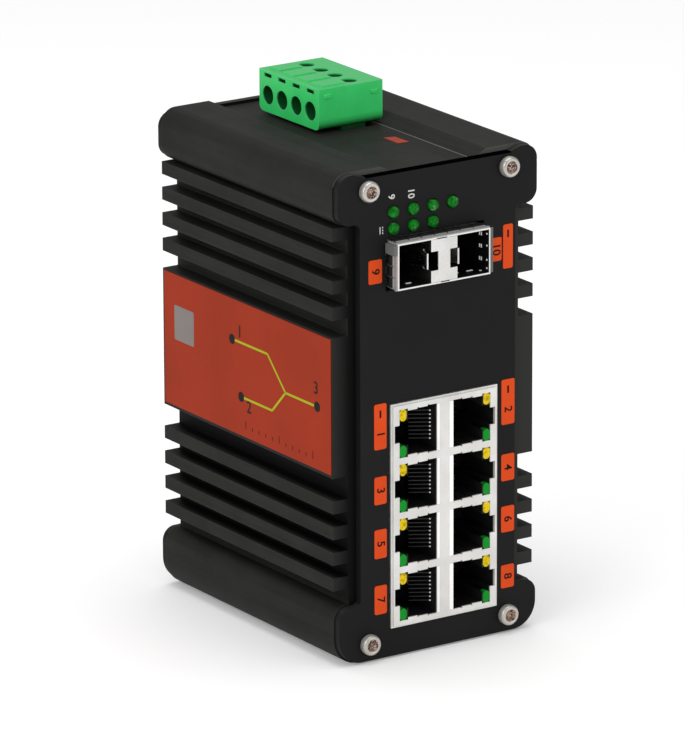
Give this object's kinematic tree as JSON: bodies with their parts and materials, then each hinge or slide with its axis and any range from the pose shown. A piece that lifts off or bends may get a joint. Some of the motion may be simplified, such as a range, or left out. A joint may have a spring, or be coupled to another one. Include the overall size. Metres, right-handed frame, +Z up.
{
  "type": "din rail ethernet switch",
  "caption": "Upright finned metal network switch for a DIN rail, with stacked sockets, two module cages and indicators at the front and a screw terminal plug on top.",
  "frame": {"origin": "middle of the footprint, front of the cages to back of the rail clip, on the surface that the lower lobes stand on", "axes": "+Z up, -Y towards the sockets at the front, +Y towards the rail clip, +X to the right as seen from the front"},
  "size_m": [0.0594, 0.0928, 0.1347],
  "materials": {
    "black_anodised": "satin",
    "black_plate": "matte",
    "zinc_steel": "satin",
    "bright_sheet": "satin",
    "spring_steel": "polished",
    "black_plastic": "matte",
    "gold_contact": "polished",
    "yellow_light": "gloss",
    "green_light": "gloss",
    "lamp_green": "gloss",
    "board_green": "satin",
    "chip_black": "matte",
    "bare_aluminium": "satin",
    "can_aluminium": "satin",
    "terminal_green": "satin",
    "label_film": "satin"
  },
  "bodies": {
    "switch": {"housing_extrusion": "black_anodised", "front_plate": "black_plate", "rear_plate": "black_plate", "front_screws": "zinc_steel", "rear_screws": "zinc_steel", "rj45_shield": "bright_sheet", "rj45_insulator": "black_plastic", "rj45_contacts": "gold_contact", "rj45_yellow_lights": "yellow_light", "rj45_green_lights": "green_light", "sfp_cage": "bright_sheet", "sfp_divider": "bright_sheet", "sfp_emi_fingers": "spring_steel", "sfp_connectors": "black_plastic", "status_leds": "lamp_green", "led_holder": "black_plastic", "main_board": "board_green", "power_board": "board_green", "switch_chip": "chip_black", "heat_spreader": "bare_aluminium", "capacitor": "can_aluminium", "inductor": "chip_black", "board_link": "black_plastic", "terminal_header": "terminal_green", "terminal_pins": "zinc_steel", "terminal_plug": "terminal_green", "terminal_clamps": "zinc_steel", "terminal_screws": "zinc_steel", "side_label": "label_film", "din_bracket": "bright_sheet", "clip_screws": "zinc_steel", "din_spring": "spring_steel"},
    "latch": {"din_latch": "bright_sheet"}
  },
  "joints": [
    {"name": "latch_slide", "type": "slide", "parent": "switch", "child": "latch", "axis": [0, 0, -1], "range_m": [0, 0.0038], "stiffness_N_per_m": 800, "springref_m": -0.004, "deforming": ["din_spring"]}
  ]
}
